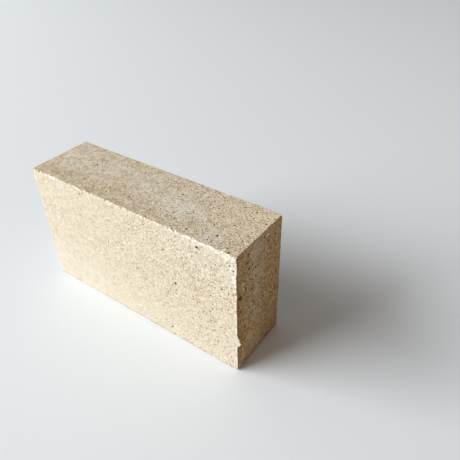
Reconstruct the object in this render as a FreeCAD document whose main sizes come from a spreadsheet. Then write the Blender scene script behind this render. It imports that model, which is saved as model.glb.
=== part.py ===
"""A refractory firebrick: one block of fireclay, pressed and fired, standing on its long narrow side.

The origin is the middle of the underside. X runs along the length, Y through the thickness with the
broad front face towards -Y, and Z is up. Every size is in millimetres.
"""
import FreeCAD, Part
import os
from collections import namedtuple
import Sketcher

NODE = "firebrick"

# The block, and how far its edges are rounded: more where handling has worn them
BLOCK_SIZES = {
    "brick_length": 230,
    "brick_height": 127,
    "brick_thickness": 65,
    "worn_arris": 0.6,
    "pressed_arris": 0.4,
}

# A side faces along an axis, in an outward sense, and its plane lies at a share of one of the block's sizes
Side = namedtuple("Side", "axis outward size share")
SIDES = {
    "left": Side("x", -1, "brick_length", -0.5),
    "right": Side("x", 1, "brick_length", 0.5),
    "front": Side("y", -1, "brick_thickness", -0.5),
    "back": Side("y", 1, "brick_thickness", 0.5),
    "bottom": Side("z", -1, "brick_height", 0),
    "top": Side("z", 1, "brick_height", 1),
}

# An edge is named by the two sides that meet there
WORN_EDGES = [("front", "top"), ("front", "right"), ("front", "left")]
PRESSED_EDGES = [
    ("front", "bottom"),
    ("back", "top"),
    ("back", "bottom"),
    ("back", "left"),
    ("back", "right"),
    ("left", "top"),
    ("left", "bottom"),
    ("right", "top"),
    ("right", "bottom"),
]

# A flake off an edge lies at a place measured from the side named, runs along the edge over a length, and
# reaches in over each of the edge's two sides, which can differ as flakes split off at a slant
EdgeChip = namedtuple("EdgeChip", "name edge measured_from place length reaches")
EDGE_CHIPS = [
    EdgeChip("left_run", ("front", "top"), "left", 27, 20, (2.6, 0.9)),
    EdgeChip("middle_nick", ("front", "top"), "right", 45, 10, (1.6, 1.0)),
    EdgeChip("right_nick", ("front", "top"), "right", 23, 9, (1.4, 1.2)),
    EdgeChip("shoulder_nick", ("front", "top"), "right", 9, 7, (1.6, 1.0)),
    EdgeChip("shoulder_run", ("front", "right"), "top", 11, 18, (3.4, 0.7)),
    EdgeChip("side_nick", ("front", "right"), "top", 39, 5, (2.2, 0.7)),
    EdgeChip("left_nick", ("front", "left"), "top", 39, 6, (1.6, 1.0)),
    EdgeChip("back_nick", ("back", "top"), "right", 54, 6, (1.2, 1.4)),
    EdgeChip("foot_nick", ("right", "bottom"), "front", 5.5, 6, (1.3, 1.2)),
]

# A flake off a corner reaches equally far along the three edges there, and its hollow has a radius
CornerChip = namedtuple("CornerChip", "name corner reach radius")
CORNER_CHIPS = [
    CornerChip("near_shoulder", ("right", "front", "top"), 1.8, 5),
    CornerChip("near_foot", ("right", "front", "bottom"), 2.0, 5),
    CornerChip("far_shoulder", ("right", "back", "top"), 2.0, 5),
]

# How near an edge's middle has to lie to a side's plane to be on it
TOUCH = 1e-6


def all_sizes():
    """Every driving size by name: the block's own, then those of each chip."""
    sizes = dict(BLOCK_SIZES)
    for chip in EDGE_CHIPS:
        sizes[f"{chip.name}_place"] = chip.place
        sizes[f"{chip.name}_length"] = chip.length
        for side, reach in zip(chip.edge, chip.reaches):
            sizes[f"{chip.name}_{side}_reach"] = reach
    for chip in CORNER_CHIPS:
        sizes[f"{chip.name}_reach"] = chip.reach
        sizes[f"{chip.name}_radius"] = chip.radius
    return sizes


def write_sheet(doc):
    """Put every driving size into the spreadsheet, each one in a cell with its own name."""
    sheet = doc.addObject("Spreadsheet::Sheet", "Sizes")
    for row, (name, value) in enumerate(all_sizes().items(), start=1):
        sheet.set(f"A{row}", name)
        sheet.set(f"B{row}", str(value))
        sheet.setAlias(f"B{row}", name)
    doc.recompute()
    return sheet


def plane_of(side):
    """The expression for where a side's plane lies along its axis."""
    return f"{SIDES[side].share} * Sizes.{SIDES[side].size}"


def draw_footprint(body):
    """Draw the underside, a rectangle centred on the origin."""
    sketch = body.newObject("Sketcher::SketchObject", "Footprint")
    ground = next(plane for plane in body.Origin.OriginFeatures if plane.Role == "XY_Plane")
    sketch.AttachmentSupport = [(ground, "")]
    sketch.MapMode = "FlatFace"
    length = BLOCK_SIZES["brick_length"]
    thickness = BLOCK_SIZES["brick_thickness"]
    corners = [
        FreeCAD.Vector(-length / 2, -thickness / 2, 0),
        FreeCAD.Vector(length / 2, -thickness / 2, 0),
        FreeCAD.Vector(length / 2, thickness / 2, 0),
        FreeCAD.Vector(-length / 2, thickness / 2, 0),
    ]
    for start, end in zip(corners, corners[1:] + corners[:1]):
        sketch.addGeometry(Part.LineSegment(start, end), False)
    for line in range(4):
        sketch.addConstraint(Sketcher.Constraint("Coincident", line, 2, (line + 1) % 4, 1))
    for line, direction in enumerate(["Horizontal", "Vertical"] * 2):
        sketch.addConstraint(Sketcher.Constraint(direction, line))
    sketch.addConstraint(Sketcher.Constraint("Symmetric", 0, 1, 2, 1, -1, 1))
    along = sketch.addConstraint(Sketcher.Constraint("DistanceX", 0, 1, 0, 2, length))
    across = sketch.addConstraint(Sketcher.Constraint("DistanceY", 1, 1, 1, 2, thickness))
    sketch.setExpression(f"Constraints[{along}]", "Sizes.brick_length")
    sketch.setExpression(f"Constraints[{across}]", "Sizes.brick_thickness")
    return sketch


def press_block(body):
    """Raise the footprint to the height of the brick."""
    block = body.newObject("PartDesign::Pad", "Block")
    block.Profile = draw_footprint(body)
    block.setExpression("Length", "Sizes.brick_height")
    return block


def edge_name(shape, sheet, edge):
    """Find the sharp edge where two sides of the block meet."""
    for number, candidate in enumerate(shape.Edges, start=1):
        middle = candidate.CenterOfMass
        sides = [SIDES[name] for name in edge]
        offsets = [getattr(middle, side.axis) - side.share * sheet.get(side.size) for side in sides]
        if all(abs(offset) < TOUCH for offset in offsets):
            return f"Edge{number}"
    raise ValueError(f"no edge between {edge}")


def round_edges(body, sheet, base, name, edges, size):
    """Round a set of edges to one radius."""
    body.Document.recompute()
    rounding = body.newObject("PartDesign::Fillet", name)
    rounding.Base = (base, [edge_name(base.Shape, sheet, edge) for edge in edges])
    rounding.setExpression("Radius", f"Sizes.{size}")
    return rounding


def scoop(body, name, radius, centre):
    """Take a flake off the block: what a ball of this radius and centre would cut away."""
    hollow = body.newObject("PartDesign::SubtractiveSphere", f"Chip_{name}")
    hollow.setExpression("Radius", radius)
    for axis, place in centre.items():
        hollow.setExpression(f"Placement.Base.{axis}", place)


def stand_off_centre(sides, stand_offs):
    """The ball's centre, standing off each of these sides by a distance of its own."""
    return {
        SIDES[side].axis: f"{plane_of(side)} + {SIDES[side].outward} * {stand_off}"
        for side, stand_off in zip(sides, stand_offs)
    }


def chip_edge(body, chip):
    """Chip an edge: the ball meets it over the chip's length, and its two sides out to the reach on each."""
    half_length = f"(Sizes.{chip.name}_length / 2)"
    first_reach, second_reach = (f"Sizes.{chip.name}_{side}_reach" for side in chip.edge)
    first_off = f"({half_length}^2 - {second_reach}^2) / (2 * {second_reach})"
    second_off = f"({half_length}^2 - {first_reach}^2) / (2 * {first_reach})"
    radius = f"sqrt(({first_off})^2 + ({second_off} + {first_reach})^2)"
    centre = stand_off_centre(chip.edge, (first_off, second_off))
    end = SIDES[chip.measured_from]
    centre[end.axis] = f"{plane_of(chip.measured_from)} - {end.outward} * Sizes.{chip.name}_place"
    scoop(body, chip.name, radius, centre)


def chip_corner(body, chip):
    """Chip a corner: the ball meets each of the three edges at the chip's reach."""
    reach = f"Sizes.{chip.name}_reach"
    radius = f"Sizes.{chip.name}_radius"
    stand_off = f"(sqrt(3 * {radius}^2 - 2 * {reach}^2) - {reach}) / 3"
    scoop(body, chip.name, radius, stand_off_centre(chip.corner, [stand_off] * len(chip.corner)))


def make_firebrick(doc, sheet):
    """Press the block, round its edges and knock the chips off it."""
    body = doc.addObject("PartDesign::Body", "Brick")
    body.Label = NODE
    block = press_block(body)
    worn = round_edges(body, sheet, block, "WornArris", WORN_EDGES, "worn_arris")
    round_edges(body, sheet, worn, "PressedArris", PRESSED_EDGES, "pressed_arris")
    for chip in EDGE_CHIPS:
        chip_edge(body, chip)
    for chip in CORNER_CHIPS:
        chip_corner(body, chip)
    doc.recompute()
    return body


def check(doc, body):
    """Stop if any object failed to build or the brick isn't one sound solid."""
    for item in doc.Objects:
        if {"Invalid", "Error"} & set(item.State):
            raise RuntimeError(f"{item.Label} did not build: {item.State}")
    shape = body.Shape
    if shape.isNull() or not shape.isValid() or len(shape.Solids) != 1:
        raise RuntimeError("the brick is not one valid solid")


def main():
    doc = FreeCAD.newDocument("Firebrick")
    brick = make_firebrick(doc, write_sheet(doc))
    check(doc, brick)
    os.makedirs("parts", exist_ok=True)
    brick.Shape.exportStep(f"parts/{brick.Label}.step")
    box = brick.Shape.optimalBoundingBox(False, False)
    print(f"{brick.Label}: {box.XLength:.2f} x {box.YLength:.2f} x {box.ZLength:.2f} mm")


main()
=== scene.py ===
"""The looks of a refractory firebrick: grainy, pored, chipped fireclay, a pale floor and window light."""
import math
from collections import namedtuple

import bpy
import numpy as np
from mathutils import Matrix, Vector, geometry, noise


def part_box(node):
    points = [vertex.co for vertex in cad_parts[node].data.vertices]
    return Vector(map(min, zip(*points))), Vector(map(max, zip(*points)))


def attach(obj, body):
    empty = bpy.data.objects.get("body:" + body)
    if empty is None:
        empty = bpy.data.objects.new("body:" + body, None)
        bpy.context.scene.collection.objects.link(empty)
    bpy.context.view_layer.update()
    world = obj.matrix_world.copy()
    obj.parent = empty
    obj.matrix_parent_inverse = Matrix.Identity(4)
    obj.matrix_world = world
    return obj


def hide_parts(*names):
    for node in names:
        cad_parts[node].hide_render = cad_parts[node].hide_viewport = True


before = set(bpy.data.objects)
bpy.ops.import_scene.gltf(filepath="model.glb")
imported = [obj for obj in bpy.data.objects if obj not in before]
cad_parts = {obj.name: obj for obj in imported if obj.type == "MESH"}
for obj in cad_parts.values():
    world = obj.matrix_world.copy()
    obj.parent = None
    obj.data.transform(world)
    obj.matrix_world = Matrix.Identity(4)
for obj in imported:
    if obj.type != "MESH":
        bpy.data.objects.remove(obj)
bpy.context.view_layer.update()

# The brick is worked out in millimetres and written in metres
MM = 0.001
LOW, HIGH = (np.array(corner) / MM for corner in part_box("firebrick"))
X, Y, Z = range(3)

# The six sides: the axis that each one faces along, and its outward sense
SIDES = {
    "left": (X, -1),
    "right": (X, 1),
    "front": (Y, -1),
    "back": (Y, 1),
    "bottom": (Z, -1),
    "top": (Z, 1),
}

# The twelve edges by the two sides that meet there
EDGES = [
    (one, other)
    for number, one in enumerate(SIDES)
    for other in list(SIDES)[number + 1:]
    if SIDES[one][0] != SIDES[other][0]
]

# Wear of an edge: its radius, how far in it is rubbed pale, partly as painted highlight, how far it has
# crumbled between its small nicks, how far apart those are and how long
Wear = namedtuple("Wear", "arris rub crumble nick_spacing nick_length")
WORN = {
    ("left", "front"): Wear(0.45, 0.6, 0.5, 1.5, 1.2),
    ("right", "front"): Wear(0.3, 1.4, 0.2, 2.5, 0.9),
    ("front", "top"): Wear(0.45, 0.9, 0.8, 1.4, 1.6),
}
FOOT = Wear(0.8, 0.2, 0.25, 2.0, 0.5)
PRESSED = Wear(0.3, 0.3, 0.25, 2.0, 0.5)

# Chips off an edge: the side that a place is measured from, the place, the length and the reach on each side
EdgeChip = namedtuple("EdgeChip", "edge measured_from place length reaches")
EDGE_CHIPS = [
    EdgeChip(("front", "top"), "left", 27, 20, (2.6, 0.9)),
    EdgeChip(("front", "top"), "right", 45, 10, (1.6, 1.0)),
    EdgeChip(("front", "top"), "right", 23, 9, (1.4, 1.2)),
    EdgeChip(("front", "top"), "right", 9, 7, (1.6, 1.0)),
    EdgeChip(("front", "right"), "top", 11, 18, (3.4, 0.7)),
    EdgeChip(("front", "right"), "top", 39, 5, (2.2, 0.7)),
    EdgeChip(("front", "left"), "top", 39, 6, (1.6, 1.0)),
    EdgeChip(("back", "top"), "right", 54, 6, (1.2, 1.4)),
    EdgeChip(("right", "bottom"), "front", 5.5, 6, (1.3, 1.2)),
]

# Chips off a corner: how far they reach along its three edges, and the radius of the hollow
CornerChip = namedtuple("CornerChip", "corner reach radius")
CORNER_CHIPS = [
    CornerChip(("right", "front", "top"), 1.8, 5),
    CornerChip(("right", "front", "bottom"), 2.0, 5),
    CornerChip(("right", "back", "top"), 2.0, 5),
]

# The small nicks: how they differ in length, how far they bite in for it and how far they keep off corners
NICK_SPREAD = 0.35
NICK_BITE = 0.38
CORNER_ROOM = 3.0

# How many times the folds that chips and nicks leave in the mesh are eased
FOLD_PASSES = 8

# How far in from an edge its crumbling fades, and how near to an edge points have to lie to be chipped
CRUMBLE_FADE = 0.7
CHIP_ROOM = 9

# How much has to be lost to a chip or a nick for it to show a fresh pale break
CHIP_DEPTH = 0.15
NICK_DEPTH = 0.4

# The near shoulder, where the brick is handled: how far round it edges are rubbed more, and how much more
# There too the pale rim is partly wear and partly painted highlight
SHOULDER = (HIGH[X], LOW[Y], HIGH[Z])
HANDLED_REACH = 22.0
HANDLED_RUB_AND_HIGHLIGHT = 3.2

# Over what stretch a rubbed edge, partly painted highlight, fades into the side
RUB_AND_HIGHLIGHT_FADE = 0.5

# A flake that stands out on the front edge of the right end: the height of its tip, its length above that,
# how much steeper it is below, the width of its root, its reach and the way that it points
FLAKE_TIP = 36.5
FLAKE_LENGTH = 8.0
FLAKE_STEEPER = 1.4
FLAKE_ROOT = 1.7
FLAKE_REACH = 4.2
FLAKE_WAY = np.array([1.0, 0.1, -0.15])

# Rings of the mesh along the edges, from the edge inwards: inset of each one and step along it
RINGS = [
    (0.0, 0.4),
    (0.25, 0.4),
    (0.55, 0.45),
    (0.9, 0.5),
    (1.35, 0.6),
    (1.9, 0.75),
    (2.7, 1.0),
    (3.8, 1.3),
    (5.2, 1.6),
]
FIELD_STEP = 1.9

# Points of the mesh nearer than the first are one, and triangles smaller than the second are left out
MERGE = 1e-4
SLIVER = 1e-6

# Pores: square millimetres of a side to each one, their usual half width and how it differs
Pore = namedtuple("Pore", "middle turn half_length half_width depth")
PORE_AREA = {"left": 60, "right": 60, "front": 110, "back": 110, "bottom": 110, "top": 90}
PORE_SIZE = 0.36
PORE_SPREAD = 0.22

# How far small pores keep off the edges, and off others in half lengths of the two
PORE_MARGIN = 1.5
PORE_ROOM = 2.2

# A pore's mesh has rings on its wall, on its rim and outside, each at a share of its half sizes and with a
# number of points, and the mesh round it keeps off by another share
PORE_RINGS = [(0.6, 6), (1.0, 9), (1.45, 9)]
PORE_CLEAR = 1.8

# Where a pore starts to darken and over what stretch inwards, in its half sizes, and from what half width on
# it is fully dark
DARK_REACH = 1.3
DARK_FADE = 0.5
DARK_SIZE = 0.6

# The large pores of each side by their half widths: where their middles lie along the side's two directions
LARGE_PORES = {
    "front": {
        0.95: [(79, 120.7), (52.7, 70), (42.3, 10.2)],
        0.6: [(101, 89.2), (89.7, 76.5), (107.5, 87.5), (112.2, 89.5), (109, 116.7), (78.6, 115.7)],
        0.52: [(42.7, 102), (93.5, 92.6), (91, 61.4), (107, 70), (30.6, 108), (78.4, 86.8), (112.3, 113)],
    },
    "top": {
        0.75: [(107, -30.2), (88.4, -18.4), (63.5, -24.6), (-5, -16.6)],
        0.6: [(42, -13.4), (85.3, 24), (111.5, 13.7), (97, 23.3), (62, -16.4), (85, -26.4)],
        0.57: [(31, 11), (99.6, 15.2), (78.2, -8.6), (-59.2, -13.4), (54, -4), (76.2, -16)],
    },
    "right": {
        1.7: [(-27.4, 83.2)],
        1.05: [(11.7, 114.2), (-15.1, 104.8), (-10.6, 80.3)],
        0.9: [(-16.5, 119.6), (-19.6, 87.3), (-10.7, 106), (-27.5, 68), (-26.6, 28.6)],
    },
}

# The angle in radians at which the press has dragged the pores out on the upright sides, and how it differs
DRAG_SPREAD = 0.4
DRAG = {"front": -0.8, "back": -0.8, "left": 0.5, "right": 0.5}

random = np.random.default_rng(23)


def plane(side):
    """Where a side's plane lies along its axis."""
    axis, outward = SIDES[side]
    return (HIGH if outward > 0 else LOW)[axis]


def side_axes(side):
    """A side's own two directions."""
    return [axis for axis in (X, Y, Z) if axis != SIDES[side][0]]


def edge_axis(edge):
    """The axis that an edge runs along."""
    return ({X, Y, Z} - {SIDES[side][0] for side in edge}).pop()


def lump_noise(points, size, octaves, seed):
    """Smooth noise at points, from about -1 to 1, with lumps of a size in millimetres."""
    shift = Vector((seed * 17.3, seed * 5.1, seed * 29.7))
    return np.array([noise.fractal(Vector(point) / size + shift, 1.0, 2.0, octaves) for point in points])


def ring_points(low, high, inset, step):
    """Points round a rectangle that lies inside another one by an inset."""
    low, high = low + inset, high - inset
    counts = np.round((high - low) / step).astype(int) + 1
    across, along = (np.linspace(low[way], high[way], counts[way]) for way in range(2))
    return np.concatenate([
        np.column_stack([across, np.full_like(across, low[1])]),
        np.column_stack([across, np.full_like(across, high[1])]),
        np.column_stack([np.full_like(along, low[0]), along])[1:-1],
        np.column_stack([np.full_like(along, high[0]), along])[1:-1],
    ])


def inner_points(low, high):
    """Points of a side inside its edges: rings that grow coarser, then staggered rows, all shaken up."""
    points = []
    for (outer, _), (inset, step) in zip(RINGS, RINGS[1:]):
        ring = ring_points(low, high, inset, step)
        points.append(ring + random.uniform(-0.3, 0.3, ring.shape) * (inset - outer))
    inset = RINGS[-1][0] + FIELD_STEP / 2
    for number, row in enumerate(np.arange(low[1] + inset, high[1] - inset, FIELD_STEP * math.sqrt(3) / 2)):
        across = np.arange(low[0] + inset + (number % 2) * FIELD_STEP / 2, high[0] - inset, FIELD_STEP)
        field = np.column_stack([across, np.full_like(across, row)])
        points.append(field + random.uniform(-0.25, 0.25, field.shape) * FIELD_STEP)
    return np.concatenate(points)


def shape_pore(side, middle, half_width):
    """A pore of a size at a place: drawn out more or less, and from half as deep as it is wide to as deep."""
    turn = random.normal(DRAG[side], DRAG_SPREAD) if side in DRAG else random.uniform(0, math.pi)
    half_length = half_width * random.uniform(1.0, 1.5)
    depth = half_width * random.uniform(1.0, 2.0)
    return Pore(np.array(middle), turn, half_length, half_width, depth)


def scatter_pores(side, low, high):
    """The large pores of a side, then small ones between them, none on another."""
    pores = [
        shape_pore(side, middle, half_width)
        for half_width, middles in LARGE_PORES.get(side, {}).items()
        for middle in middles
    ]
    span = high - low - 2 * PORE_MARGIN
    for _ in range(int(span.prod() / PORE_AREA[side])):
        middle = low + PORE_MARGIN + random.random(2) * span
        pore = shape_pore(side, middle, PORE_SIZE * random.lognormal(0, PORE_SPREAD))
        room = [PORE_ROOM * (pore.half_length + other.half_length) for other in pores]
        if all(np.hypot(*(middle - other.middle)) > gap for other, gap in zip(pores, room)):
            pores.append(pore)
    return pores


def turned(points, turn):
    """Flat points turned about their origin."""
    return points @ np.array([[math.cos(turn), math.sin(turn)], [-math.sin(turn), math.cos(turn)]])


def pore_distance(points, pore):
    """How far points lie from a pore's middle, in its own half sizes: 1 on its rim."""
    own = turned(points - pore.middle, -pore.turn) / (pore.half_length, pore.half_width)
    return np.linalg.norm(own, axis=1)


def pore_points(pore):
    """Points for a pore's mesh: its middle, a ring on its wall, its uneven rim and a ring outside."""
    points = [pore.middle[None]]
    for share, count in PORE_RINGS:
        angles = np.arange(count) * 2 * math.pi / count + random.uniform(0, math.pi)
        ring = np.column_stack([np.cos(angles) * pore.half_length, np.sin(angles) * pore.half_width])
        uneven = share * random.uniform(0.88, 1.1, count)
        points.append(pore.middle + turned(ring * uneven[:, None], pore.turn))
    return np.concatenate(points)


def side_mesh(side):
    """One side of the sharp block: flat points, triangles, how deep each point sinks and how dark it is."""
    low, high = LOW[side_axes(side)], HIGH[side_axes(side)]
    pores = scatter_pores(side, low, high)
    inner = inner_points(low, high)
    for pore in pores:
        inner = inner[pore_distance(inner, pore) > PORE_CLEAR]
    rim = ring_points(low, high, *RINGS[0])
    points = np.concatenate([rim, inner, *(pore_points(pore) for pore in pores)])
    found = geometry.delaunay_2d_cdt([Vector(point) for point in points], [], [], 0, MERGE)
    flat = np.array([tuple(point) for point in found[0]])
    sink = np.zeros(len(flat))
    dark = np.zeros(len(flat))
    for pore in pores:
        distance = pore_distance(flat, pore)
        sink = np.maximum(sink, pore.depth * np.clip(1 - distance ** 2, 0, 1) ** 0.6)
        shade = np.clip((DARK_REACH - distance) / DARK_FADE, 0, 1)
        dark = np.maximum(dark, shade * min(pore.half_width / DARK_SIZE, 1))
    return flat, outward_triangles(side, flat, np.array(found[2])), sink, dark


def outward_triangles(side, flat, triangles):
    """A side's triangles, without slivers and wound so that they face outwards."""
    start, second, third = (flat[triangles[:, number]] for number in range(3))
    area = np.cross(second - start, third - start)
    axis, outward = SIDES[side]
    sense = -outward if axis == Y else outward
    wound = np.where((area * sense > 0)[:, None], triangles, triangles[:, ::-1])
    return wound[np.abs(area) > SLIVER]


def lift(side, flat):
    """A side's flat points on its plane of the sharp block."""
    points = np.empty((len(flat), 3))
    points[:, side_axes(side)] = flat
    points[:, SIDES[side][0]] = plane(side)
    return points


def sheet_places(side, flat):
    """Where a side's points lie on the one sheet that all six sides are laid out on without overlap."""
    gap = 4
    length, thickness, height = HIGH - LOW
    corners = {
        "front": (gap, gap),
        "back": (gap, 2 * gap + height),
        "top": (gap, 3 * gap + 2 * height),
        "bottom": (gap, 4 * gap + 2 * height + thickness),
        "left": (2 * gap + length, gap),
        "right": (2 * gap + length, 2 * gap + height),
    }
    sheet = 2 * (height + thickness) + 5 * gap
    return (flat - LOW[side_axes(side)] + corners[side]) / sheet


def sharp_block():
    """The block before its edges wear: welded points, triangles, places on the sheet, sink and darkness."""
    points, triangles, places, sinks, darks = [], [], [], [], []
    count = 0
    for side in SIDES:
        flat, corners, sink, dark = side_mesh(side)
        points.append(lift(side, flat))
        triangles.append(corners + count)
        places.append(sheet_places(side, flat)[corners])
        sinks.append(sink)
        darks.append(dark)
        count += len(flat)
    points = np.concatenate(points)
    _, first, weld = np.unique(np.round(points, 3), axis=0, return_index=True, return_inverse=True)
    triangles = weld.reshape(-1)[np.concatenate(triangles)]
    sink, dark = (np.concatenate(values)[first] for values in (sinks, darks))
    return points[first], triangles, np.concatenate(places), sink, dark


def edge_gaps(points):
    """How far points lie from each of the twelve edges."""
    return np.array([np.hypot(*(points[:, SIDES[side][0]] - plane(side) for side in edge)) for edge in EDGES])


def wear_of(edge):
    """The wear of one edge."""
    return WORN.get(edge, FOOT if "bottom" in edge else PRESSED)


def edge_wear(gaps):
    """The wear at each point, from that of the edges near it."""
    values = np.array([wear_of(edge) for edge in EDGES])
    least = 0.01
    weights = 1 / (gaps ** 2 + least)
    return Wear(*(values.T @ weights / weights.sum(0)))


def round_edges(points, radius):
    """Round the block's edges, each to its own radius. Gives the points and their outward directions."""
    core = np.clip(points, LOW + radius[:, None], HIGH - radius[:, None])
    outward = points - core
    outward /= np.linalg.norm(outward, axis=1)[:, None]
    return core + outward * radius[:, None], outward


def stand_off_centre(sides, stand_offs):
    """A point outside the block that stands off each of some sides by its own distance."""
    centre = np.zeros(3)
    for side, stand_off in zip(sides, stand_offs):
        axis, outward = SIDES[side]
        centre[axis] = plane(side) + outward * stand_off
    return centre


def edge_ball(edge, length, reaches):
    """The ball that takes a chip off an edge: it meets it over a length and reaches in on its two sides."""
    half = length / 2
    near, far = ((half ** 2 - reach ** 2) / (2 * reach) for reach in reversed(reaches))
    return stand_off_centre(edge, (near, far)), math.hypot(near, far + reaches[0])


def chip_balls():
    """The balls for the chips that can be made out one by one."""
    balls = []
    for chip in EDGE_CHIPS:
        centre, radius = edge_ball(chip.edge, chip.length, chip.reaches)
        axis, outward = SIDES[chip.measured_from]
        centre[axis] = plane(chip.measured_from) - outward * chip.place
        balls.append((centre, radius))
    for chip in CORNER_CHIPS:
        stand_off = (math.sqrt(3 * chip.radius ** 2 - 2 * chip.reach ** 2) - chip.reach) / 3
        balls.append((stand_off_centre(chip.corner, [stand_off] * 3), chip.radius))
    return balls


def nick_balls():
    """The balls for the small nicks, scattered along every edge and thicker on the worn ones."""
    balls = []
    for edge in EDGES:
        axis = edge_axis(edge)
        wear = wear_of(edge)
        for _ in range(int((HIGH - LOW)[axis] / wear.nick_spacing)):
            length = wear.nick_length * random.lognormal(0, NICK_SPREAD)
            reaches = 0.5 * wear.arris + NICK_BITE * length * random.uniform(0.4, 1.6, 2)
            centre, radius = edge_ball(edge, length + 2 * wear.arris, reaches)
            centre[axis] = random.uniform(LOW[axis] + CORNER_ROOM, HIGH[axis] - CORNER_ROOM)
            balls.append((centre, radius))
    return balls


def knock_off(points, balls):
    """Move the points inside a ball out to its surface. Gives how far each point moved."""
    lost = np.zeros(len(points))
    for centre, radius in balls:
        offset = points - centre
        distance = np.linalg.norm(offset, axis=1)
        inside = distance < radius
        points[inside] = centre + offset[inside] * (radius / distance[inside])[:, None]
        lost[inside] += radius - distance[inside]
    return lost


def ease_folds(points, triangles, outward):
    """Move the points of triangles that have folded over to the middle of their neighbours, a few times."""
    starts = triangles.reshape(-1)
    ends = np.roll(triangles, 1, axis=1).reshape(-1)
    count = np.bincount(starts, minlength=len(points))
    for _ in range(FOLD_PASSES):
        first, second, third = (points[triangles[:, number]] for number in range(3))
        facing = np.cross(second - first, third - first) * outward[triangles].sum(1)
        folded = np.unique(triangles[facing.sum(1) < 0])
        middle = np.column_stack([np.bincount(starts, points[ends, axis]) / count for axis in (X, Y, Z)])
        points[folded] = middle[folded]


def raise_flake(points):
    """Draw out a thin flake on the front edge of the right end. Gives how far each point is flake."""
    above = (points[:, Z] - FLAKE_TIP) / FLAKE_LENGTH
    rise = np.clip(1 - np.where(above > 0, above, -FLAKE_STEEPER * above), 0, 1)
    gap = np.hypot(points[:, X] - HIGH[X], points[:, Y] - LOW[Y])
    root = np.clip(FLAKE_ROOT - gap, 0, 1) ** 0.7
    reach = FLAKE_REACH * rise * root * (1 + 0.6 * lump_noise(points, 2, 2, 7))
    points += reach[:, None] * FLAKE_WAY
    return np.clip(reach, 0, 1)


def rub_and_highlight_width(points, wear):
    """How far in from their edge points are rubbed pale, partly as painted highlight, more so near the
    shoulder that is handled.
    """
    handled = np.exp(-np.linalg.norm(points - SHOULDER, axis=1) / HANDLED_REACH)
    return wear.rub * (1 + HANDLED_RUB_AND_HIGHLIGHT * handled) * (1 + 2.2 * lump_noise(points, 3.5, 3, 2))


def skin_depth(points):
    """How far the uneven skin lies below the flat sides: broad hollows and small dents."""
    hollows = 0.08 * (1 + lump_noise(points, 40, 2, 4))
    dents = 0.06 * (1 + lump_noise(points, 4, 3, 5))
    return np.clip(hollows + dents, 0, None)


def worn_brick():
    """The whole brick: rounded, crumbled and chipped edges, pores, an uneven skin and a flake."""
    points, triangles, places, sink, dark = sharp_block()
    gaps = edge_gaps(points)
    nearest = gaps.min(0)
    wear = edge_wear(gaps)
    crumble = wear.crumble * np.exp(-nearest / CRUMBLE_FADE) * np.abs(lump_noise(points, 1.5, 2, 3))
    rub = rub_and_highlight_width(points, wear)
    points, outward = round_edges(points, wear.arris * (1 + 0.5 * lump_noise(points, 5, 2, 1)))
    frontward = np.clip(-outward[:, Y], 0, 1)
    # The pale rim is kept mostly to the sides that face the front and the window light: there it is partly
    # painted highlight
    rub *= 0.15 + 0.85 * frontward
    near = np.flatnonzero(nearest < CHIP_ROOM)
    edge_points = points[near]
    lost = np.zeros((2, len(points)))
    lost[:, near] = [knock_off(edge_points, balls) for balls in (chip_balls(), nick_balls())]
    points[near] = edge_points
    chipped, nicked = np.clip(lost / [[CHIP_DEPTH], [NICK_DEPTH]], 0, 1)
    fracture = 0.2 * np.maximum(chipped, nicked) * np.abs(lump_noise(points, 1.2, 2, 6))
    points -= outward * (skin_depth(points) + fracture + crumble + sink)[:, None]
    ease_folds(points, triangles, outward)
    flake = raise_flake(points)
    rubbed_and_highlit = np.clip((rub - nearest) / RUB_AND_HIGHLIGHT_FADE, 0, 1)
    pale = np.maximum.reduce([chipped, 0.4 * nicked, 0.85 * rubbed_and_highlit]) * (1 - 0.7 * flake)
    ends, _, flats = np.abs(outward).T
    return points, triangles, places, {"pore": dark, "pale": pale, "ends": ends, "flats": flats}


def make_brick():
    """The brick as an object, with the marks that its material reads."""
    points, triangles, places, marks = worn_brick()
    mesh = bpy.data.meshes.new("fired_brick")
    mesh.from_pydata((points * MM).tolist(), [], triangles.tolist())
    mesh.uv_layers.new(name="OFBake").uv.foreach_set("vector", places.reshape(-1))
    for name, values in marks.items():
        mesh.attributes.new(name, "FLOAT", "POINT").data.foreach_set("value", values)
    mesh.shade_smooth()
    mesh.materials.append(fireclay())
    brick = bpy.data.objects.new("fired_brick", mesh)
    bpy.context.collection.objects.link(brick)
    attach(brick, "root")
    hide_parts("firebrick")


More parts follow.
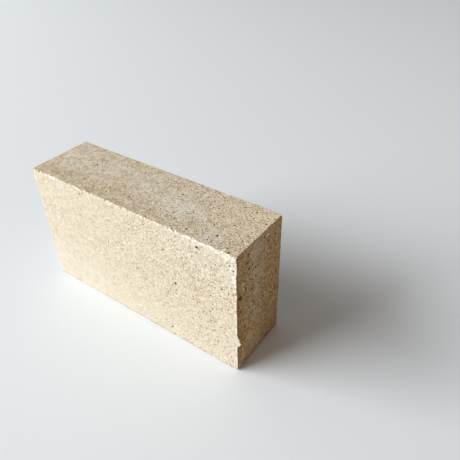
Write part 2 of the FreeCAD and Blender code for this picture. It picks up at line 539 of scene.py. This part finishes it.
class Shade:
    """One socket of a material. Arithmetic on shades adds Math nodes, and node() adds any other node."""

    def __init__(self, tree, socket=None):
        self.tree = tree
        self.socket = socket

    def node(self, kind, settings, sockets, output=None):
        """Add a node with its settings, then its sockets by identifier. Gives one output, or the first."""
        node = self.tree.nodes.new(kind)
        for name, value in settings.items():
            setattr(node, name, value)
        inputs = {socket.identifier: socket for socket in node.inputs}
        for name, value in sockets.items():
            if isinstance(value, Shade):
                self.tree.links.new(value.socket, inputs[name])
            else:
                inputs[name].default_value = value
        outputs = {socket.identifier: socket for socket in node.outputs}
        return Shade(self.tree, outputs[output] if output else next(iter(node.outputs), None))

    def maths(self, operation, first, second):
        """A Math node on two values."""
        return self.node("ShaderNodeMath", {"operation": operation}, {"Value": first, "Value_001": second})

    def __add__(self, other):
        return self.maths("ADD", self, other)

    __radd__ = __add__

    def __sub__(self, other):
        return self.maths("SUBTRACT", self, other)

    def __rsub__(self, other):
        return self.maths("SUBTRACT", other, self)

    def __mul__(self, other):
        return self.maths("MULTIPLY", self, other)

    __rmul__ = __mul__

    def __truediv__(self, other):
        return self.maths("DIVIDE", self, other)

    def __rtruediv__(self, other):
        return self.maths("DIVIDE", other, self)

    def step(self, low, high):
        """A smooth rise from 0 at low to 1 at high, or a fall where high is the lower."""
        return self.node(
            "ShaderNodeMapRange",
            {"interpolation_type": "SMOOTHSTEP"},
            {"Value": self, "From Min": low, "From Max": high},
        )

    def mixed(self, start, end, blend="MIX"):
        """A colour from start to end, or to the two blended, as this shade goes from 0 to 1."""
        return self.node(
            "ShaderNodeMix",
            {"data_type": "RGBA", "blend_type": blend},
            {"Factor_Float": self, "A_Color": start, "B_Color": end},
            "Result_Color",
        )

    def between(self, start, end):
        """A place from start to end as this shade goes from 0 to 1."""
        return self.node(
            "ShaderNodeMix",
            {"data_type": "VECTOR"},
            {"Factor_Float": self, "A_Vector": start, "B_Vector": end},
            "Result_Vector",
        )

    def drawn_out(self, direction, length, width):
        """A place for noise whose lumps are wider by a factor, and drawn out along a direction by another."""
        turn = Vector(direction).to_track_quat("X", "Z").to_euler()
        return self.node(
            "ShaderNodeMapping",
            {"vector_type": "TEXTURE"},
            {"Vector": self, "Rotation": turn, "Scale": (length, width, width)},
        )

    def spot(self, middle, radius):
        """A soft round spot: 1 near its middle and 0 from a radius on."""
        sockets = {"Vector": self, "Vector_001": middle}
        distance = self.node("ShaderNodeVectorMath", {"operation": "DISTANCE"}, sockets, "Value")
        return distance.step(radius, radius * 0.3)

    def stretched(self, *scales):
        """A place with each of its directions scaled."""
        sockets = {"Vector": self, "Vector_001": scales}
        return self.node("ShaderNodeVectorMath", {"operation": "MULTIPLY"}, sockets)

    def clouds(self, size, detail, seed):
        """Soft noise from 0 to 1 over places in millimetres, with lumps of a size."""
        return self.node(
            "ShaderNodeTexNoise",
            {"noise_dimensions": "4D"},
            {"Vector": self, "W": seed, "Scale": 1 / size, "Detail": detail},
        )

    def grains(self, size, output):
        """Cells of a size: the distance from each one's middle, or its own chance colour."""
        return self.node("ShaderNodeTexVoronoi", {}, {"Vector": self, "Scale": 1 / size}, output)

    def channel(self, name):
        """One channel of a colour."""
        return self.node("ShaderNodeSeparateColor", {}, {"Color": self}, name)

    def along(self, name):
        """One direction of a place."""
        return self.node("ShaderNodeSeparateXYZ", {}, {"Vector": self}, name)

    def mark(self, name):
        """One of the marks that the mesh carries at its points."""
        return self.node("ShaderNodeAttribute", {"attribute_name": name}, {}, "Fac")


def tint(red, green, blue):
    """A colour, each part from 0 to 255, as the linear light that shaders take."""
    parts = (part / 255 for part in (red, green, blue))
    return *(part / 12.92 if part <= 0.04045 else ((part + 0.055) / 1.055) ** 2.4 for part in parts), 1.0


SAND = tint(190, 176, 147)
BUFF = tint(209, 199, 176)
CREAM = tint(224, 216, 198)
CHALK = tint(245, 243, 236)
OCHRE = tint(168, 141, 100)
RUST = tint(168, 108, 62)
BROWN = tint(150, 114, 70)
UMBER = tint(108, 62, 24)
# The near black core of the pores: painted shade
PORE_SHADE = tint(76, 32, 6)
DUST = tint(228, 229, 225)
TAN = tint(229, 203, 165)
STRAW = tint(243, 241, 234)
BONE = tint(232, 214, 178)
PALE = tint(222, 215, 196)

# How far a point has to face along the length or upwards to be on an end, or on the upper side or underside
FACING = (0.6, 0.8)

# The way the press has dragged the grain on the ends
END_DRAG = (0, 0.87, 0.5)

# Where dust lies on the upper side: the middle of each patch and its radius
DUST_SPOTS = [((-95, 8), 30), ((-48, 6), 26), ((-4, 5), 26), ((32, 0), 24), ((54, -8), 20), ((84, -24), 16)]

# White grains that stand out on the upper side and on the right end: their radius and their places
WHITE_GRAIN_RADIUS = 1.5
WHITE_GRAINS = [
    (48, 20.5, HIGH[Z]),
    (51, -19, HIGH[Z]),
    (101, 14.5, HIGH[Z]),
    (102.5, -29, HIGH[Z]),
    (61, 30, HIGH[Z]),
    (113.5, 31, HIGH[Z]),
    (HIGH[X], 11.3, 120.5),
    (HIGH[X], -29.2, 3.6),
]


def fireclay():
    """Fired clay: cream grog in a sandy body, specks, dark pores, pale edges partly rubbed and partly painted
    highlight, dust and smears.
    """
    material = bpy.data.materials.new("fireclay")
    material.use_nodes = True
    material.node_tree.nodes.clear()
    start = Shade(material.node_tree)
    place = start.node("ShaderNodeTexCoord", {}, {}, "Object").stretched(1 / MM, 1 / MM, 1 / MM)
    lumps = place.clouds(0.8, 3.0, 1.0) * 0.28
    grog = place.grains(1.2, "Distance") * 0.1
    bump = start.node("ShaderNodeBump", {}, {"Strength": 1.0, "Distance": MM, "Height": lumps - grog})
    shader = start.node(
        "ShaderNodeBsdfPrincipled",
        {},
        {
            "Base Color": clay_colour(place),
            "Roughness": place.clouds(3.0, 2.0, 2.0) * 0.2 + 0.78,
            "Specular IOR Level": 0.25,
            "Normal": bump,
        },
    )
    start.node("ShaderNodeOutputMaterial", {}, {"Surface": shader})
    return material


def clay_colour(place):
    """The colour of the fireclay over the brick, laid on from its body outwards."""
    ends = place.mark("ends").step(*FACING)
    flats = place.mark("flats").step(*FACING)
    # The right end, which is tinted browner below as painted warm light and shade
    right_end_mask = ends * place.along("X").step(-50, 50)
    # Painted light: paler towards the foot and to the left
    pale = (1 - ends) * painted_light(place)
    faded = place.along("X").step(80, -60)
    clay = flats.mixed(PALE, BUFF)
    colour = (pale * (1 - faded)).mixed(body_colour(place, flats), clay)
    colour = grainy(colour, place, flats, right_end_mask)
    colour = (pale * faded).mixed(colour, clay)
    colour = mottled(colour, place, faded * (flats * 0.25 + 0.15))
    colour = ((ends - right_end_mask) * 0.45).mixed(colour, BUFF)
    colour = broad_sides(colour, place, (1 - ends) * (1 - flats))
    colour = upper_side(colour, place, flats)
    colour = right_end(colour, place, right_end_mask)
    colour = worn(colour, place, flats)
    pore = place.mark("pore") * (1 - pale * faded)
    # The pores darken from a brown rim to a near black core: partly the clay's brown, partly painted shade in
    # the pit
    colour = pore.step(0.05, 0.5).mixed(colour, BROWN)
    colour = pore.step(0.4, 0.9).mixed(colour, UMBER)
    return pore.step(0.6, 0.85).mixed(colour, PORE_SHADE)


def body_colour(place, flats):
    """The body of the clay: broad clouds, with lumps on the upper side and the underside."""
    colour = place.clouds(12, 3.0, 3.0).step(0.2, 0.8).mixed(SAND, BUFF)
    colour = (flats * place.clouds(6, 2.0, 12.0).step(0.4, 0.7) * 0.3).mixed(colour, OCHRE)
    lumps = place.clouds(3.2, 1.0, 13.0)
    colour = (flats * lumps.step(0.5, 0.64) * 0.7).mixed(colour, CREAM)
    colour = (flats * lumps.step(0.5, 0.36) * 0.7).mixed(colour, OCHRE)
    # Painted light: the upper side and underside paler towards the right
    return (flats * place.along("X").step(-30, 60) * 0.24).mixed(colour, CREAM)


def grainy(colour, place, flats, right_end_mask):
    """The grain on a colour: cream grog round ochre dots, white, rusty and brown specks and dark pits."""
    broad = place.drawn_out((1, 0, -1), 1.25, 1.0)
    narrow = flats.between(broad, place.drawn_out((1, 0, 0), 1.05, 0.95))
    grain = right_end_mask.between(narrow, place.drawn_out(END_DRAG, 1.6, 1.2))
    rough = flats * 0.9 + right_end_mask
    middle = grain.grains(1.4, "Distance")
    colour = (middle.step(0.45, 0.75) * (rough * 0.2 + 0.8)).mixed(colour, CREAM)
    dots = middle.step(0.5, 0.2) * grain.grains(1.4, "Color").channel("Red").step(0.2, 0.9)
    colour = (dots * (rough * 0.3 + 0.7)).mixed(colour, OCHRE)
    colour = specks(grain, 1.5, "Green", rough * 0.12 + 0.12, 0.55).mixed(colour, CHALK)
    colour = specks(place, 4.0, "Green", 0.05, 0.3).mixed(colour, CHALK)
    colour = (specks(place, 3.3, "Blue", 0.04, 0.36) * 0.6).mixed(colour, RUST)
    colour = specks(grain, 1.5, "Blue", rough * 0.12 + 0.14, 0.55).mixed(colour, BROWN)
    pits = specks(grain, 1.7, "Red", 0.12, 0.5) * place.along("X").step(-70, 80)
    return (pits * 0.75).mixed(colour, UMBER)


def mottled(colour, place, amount):
    """Soft mottles on a colour, as strong as an amount."""
    mottles = place.clouds(5.0, 1.0, 14.0)
    colour = (mottles.step(0.5, 0.65) * amount).mixed(colour, CREAM)
    return (mottles.step(0.5, 0.35) * amount).mixed(colour, OCHRE)


def broad_sides(colour, place, broad):
    """The broad sides' own tone: greyer towards their top right."""
    greying = place.along("Z").step(75, 120) * place.along("X").step(-40, 100)
    return (broad * greying * 0.13).mixed(colour, DUST)


def upper_side(colour, place, flats):
    """The upper side's own tones: painted shade darker along its front, painted warm light at its back right,
    with dust on it.
    """
    # Painted shade: darker along the front of the upper side
    colour = (flats * place.along("Y").step(-6, -22) * 0.6).mixed(colour, STRAW, "MULTIPLY")
    # Painted warm light at the back right of the upper side
    warm = place.along("X").step(40, 110) * place.along("Y").step(-25, 20)
    colour = (flats * warm * 0.2).mixed(colour, BONE)
    return upper_dust(place).mixed(colour, DUST)


def right_end(colour, place, right_end_mask):
    """The right end's own tones: browner as painted warm light and shade, smeared, with pale and dark dashes
    and a brown front edge.
    """
    middle = place.along("Y").step(-26, -6) * place.along("Y").step(14, -6)
    brown = (1 - middle) * place.along("Z").step(115, 80) * 0.3
    # Painted warm light and shade: the right end tinted browner
    colour = right_end_mask.mixed(colour, TAN, "MULTIPLY")
    # Painted shade: browner still towards its foot and off its middle
    colour = (right_end_mask * brown).mixed(colour, BONE, "MULTIPLY")
    colour = (right_end_mask * end_smears(place, middle)).mixed(colour, DUST)
    colour = (right_end_mask * place.along("Z").step(45, 0) * 0.12).mixed(colour, BONE)
    dashes = place.drawn_out(END_DRAG, 1.7, 1.3)
    marked = right_end_mask * (place.along("Z").step(0, 70) * 0.5 + 0.5)
    colour = (marked * specks(dashes, 1.6, "Red", 0.28, 0.6) * 0.8).mixed(colour, BONE)
    colour = (marked * specks(dashes, 1.6, "Green", 0.2, 0.6) * 0.9).mixed(colour, UMBER)
    return (right_end_mask * place.along("Y").step(-26, -32) * 0.5).mixed(colour, BROWN)


def worn(colour, place, flats):
    """White grains laid bare, edges chipped pale, edges rubbed pale in part painted highlight, a painted
    shadow along the foot.
    """
    for middle in WHITE_GRAINS:
        colour = place.spot(middle, WHITE_GRAIN_RADIUS).mixed(colour, CHALK)
    # Painted contact shadow: a brown line along the foot of the upright sides
    painted_foot_shadow = (1 - flats) * place.along("Z").step(2.2, 0.6) * place.clouds(3.0, 2.0, 11.0).step(0.3, 0.6)
    colour = (painted_foot_shadow * 0.6).mixed(colour, BROWN)
    # Pale where chipped and nicked, and where rubbed, which is partly painted highlight
    return (place.mark("pale") * place.clouds(1.4, 2.0, 6.0).step(0.36, 0.56)).mixed(colour, CHALK)


def painted_light(place):
    """Painted light: how much paler the clay is made towards its foot and to the left, as if more light fell
    there.
    """
    return place.along("Z").step(90, 0) * 0.42 + place.along("X").step(100, -120) * 0.42


def specks(place, size, channel, share, radius):
    """Round specks of many sizes, up to a radius in cells: the middles of a share of the cells of a size."""
    chance = (place.grains(size, "Color").channel(channel) + share - 1) / share
    reach = (chance * 0.7 + 0.3) * radius
    return chance.step(0, 0.02) * (reach - place.grains(size, "Distance")).step(0, 0.2 * radius)


def upper_dust(place):
    """Pale dust in broad patches on the upper side."""
    patches = sum(place.spot((*middle, HIGH[Z]), radius) for middle, radius in DUST_SPOTS)
    grit = place.clouds(1.1, 3.0, 8.0).step(0.42, 0.66) * place.clouds(9, 2.0, 7.0).step(0.25, 0.65)
    return place.along("Z").step(HIGH[Z] - 2, HIGH[Z] - 1) * patches * grit * 0.9


def end_smears(place, middle):
    """Pale smears that run down the right end, most of all along its middle."""
    streaks = place.stretched(1.0, 1.0, 0.5).clouds(8.0, 3.0, 9.0).step(0.36, 0.66)
    return (middle * 0.85 + 0.15) * streaks * place.clouds(1.0, 2.0, 10.0).step(0.3, 0.6) * 0.34


# The eye and how it looks: turned from the back to the left, tipped down and rolled, and the lens for it
EYE = Vector((265.9, -245.7, 350.5)) * MM
TURN, TIP, ROLL = (math.radians(angle) for angle in (36.11, 37.18, -1.41))
FOCAL_PIXELS = 487.2
PICTURE_PIXELS = 460
SENSOR = 36.0


def place_camera():
    """The camera at the photograph's viewing angle."""
    forward = Vector((-math.sin(TURN) * math.cos(TIP), math.cos(TURN) * math.cos(TIP), -math.sin(TIP)))
    level = Vector((math.cos(TURN), math.sin(TURN), 0))
    right = level * math.cos(ROLL) + level.cross(forward) * math.sin(ROLL)
    lens = bpy.data.cameras.new("camera")
    lens.sensor_width = SENSOR
    lens.lens = FOCAL_PIXELS / PICTURE_PIXELS * SENSOR
    lens.clip_start = 0.01
    camera = bpy.data.objects.new("camera", lens)
    axes = Matrix((right, right.cross(forward), -forward)).transposed()
    camera.matrix_world = Matrix.Translation(EYE) @ axes.to_4x4()
    bpy.context.collection.objects.link(camera)
    bpy.context.scene.camera = camera


def lay_floor():
    """A plain pale floor."""
    half = 6.0
    corners = [(-half, -half, 0), (half, -half, 0), (half, half, 0), (-half, half, 0)]
    mesh = bpy.data.meshes.new("floor")
    mesh.from_pydata(corners, [], [(0, 1, 2, 3)])
    material = bpy.data.materials.new("floor")
    material.use_nodes = True
    shader = material.node_tree.nodes["Principled BSDF"]
    shader.inputs["Base Color"].default_value = (0.775, 0.83, 0.885, 1.0)
    shader.inputs["Roughness"].default_value = 0.7
    shader.inputs["Specular IOR Level"].default_value = 0.2
    mesh.materials.append(material)
    floor = bpy.data.objects.new("floor", mesh)
    bpy.context.collection.objects.link(floor)


def hang_light(name, towards, distance, size, power, colour):
    """A soft rectangular light in a direction from the brick, facing it."""
    data = bpy.data.lights.new(name, "AREA")
    data.shape = "RECTANGLE"
    data.size, data.size_y = size
    data.energy = power
    data.color = colour
    light = bpy.data.objects.new(name, data)
    direction = Vector(towards).normalized()
    aim = Vector((0, 0, 0.06))
    light.location = direction * distance + aim
    light.rotation_euler = direction.to_track_quat("Z", "Y").to_euler()
    bpy.context.collection.objects.link(light)


def light_room():
    """Window light from the front left, low and broad, and a dim room, warmer and dimmer on the right."""
    hang_light(
        "window",
        towards=(-0.745, -0.655, 0.545),
        distance=5.5,
        size=(4.8, 3.0),
        power=480,
        colour=(1.0, 0.99, 0.97),
    )
    world = bpy.data.worlds.new("room")
    world.use_nodes = True
    world.node_tree.nodes.clear()
    start = Shade(world.node_tree)
    rightward = start.node("ShaderNodeTexCoord", {}, {}, "Generated").along("X").step(-0.6, 0.8)
    plain = (0.29, 0.29, 0.29, 1)
    warm = (0.20, 0.14, 0.09, 1)
    glow = rightward.mixed(plain, warm)
    room = start.node("ShaderNodeBackground", {}, {"Color": glow})
    start.node("ShaderNodeOutputWorld", {}, {"Surface": room})
    bpy.context.scene.world = world
    bpy.context.scene.view_settings.view_transform = "Standard"


make_brick()
lay_floor()
place_camera()
light_room()
